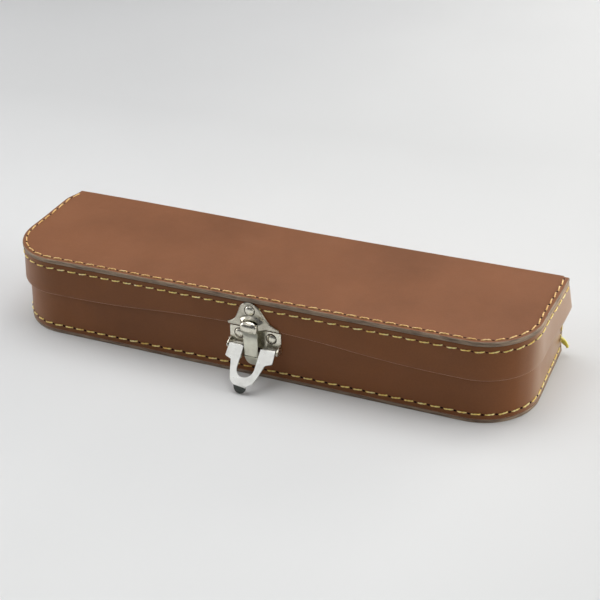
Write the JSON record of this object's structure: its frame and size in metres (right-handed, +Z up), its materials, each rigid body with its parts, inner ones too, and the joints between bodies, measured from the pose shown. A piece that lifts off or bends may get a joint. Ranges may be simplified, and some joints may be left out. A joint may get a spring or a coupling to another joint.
{
  "type": "flute case",
  "caption": "Low stitched leather flute case with rounded front corners, a leather-hinged lid, a fitted plush interior and a draw latch.",
  "frame": {"origin": "centre of the case's footprint, on the face it rests on", "axes": "+X along the case to the right seen from the latch side, +Y to the hinge, +Z up"},
  "size_m": [0.403, 0.1311, 0.0632],
  "materials": {
    "leather_hide": "smooth, waxed",
    "leather_band": "smooth, waxed",
    "plush": "short velvet pile",
    "nickel": "worn nickel plate",
    "nickel_bright": "polished nickel plate"
  },
  "bodies": {
    "base": {"bottom_panel": "leather_hide", "back_panel": "leather_hide", "hinge_fold": "leather_hide", "base_band": "leather_band", "latch_plate": "nickel", "latch_rivets": "nickel", "latch_washers": "nickel", "lever_pins": "nickel", "floor_board": "plush", "front_rail": "plush", "back_rail": "plush", "front_block_left": "plush", "front_block_right": "plush", "rear_block_left": "plush", "rear_block_right": "plush", "divider": "plush", "partition": "plush", "body_saddle_left": "plush", "body_saddle_right": "plush", "head_saddle": "plush", "foot_saddle": "plush"},
    "lid": {"top_panel": "leather_hide", "lid_band": "leather_band", "lid_pad": "plush", "keeper_plate": "nickel", "keeper_rivet": "nickel", "keeper_washer": "nickel"},
    "lever": {"lever": "nickel_bright", "link_pin": "nickel"},
    "hook": {"draw_hook": "nickel"}
  },
  "joints": [
    {"name": "lid_hinge", "type": "hinge", "parent": "base", "child": "lid", "pos_m": [0, 0.05025, 0.0606], "axis": [-1, 0, 0], "range_deg": [0, 110]},
    {"name": "lever_pivot", "type": "hinge", "parent": "base", "child": "lever", "pos_m": [0.0071, -0.05685, 0.0252], "axis": [-1, 0, 0], "range_deg": [0, 70]},
    {"name": "hook_turn", "type": "hinge", "parent": "lever", "child": "hook", "pos_m": [0.0071, -0.05635, 0.02], "axis": [1, 0, 0], "range_deg": [0, 70]}
  ],
  "couplings": [
    {"joint": "hook_turn", "follows": "lever_pivot", "ratio": 1}
  ]
}
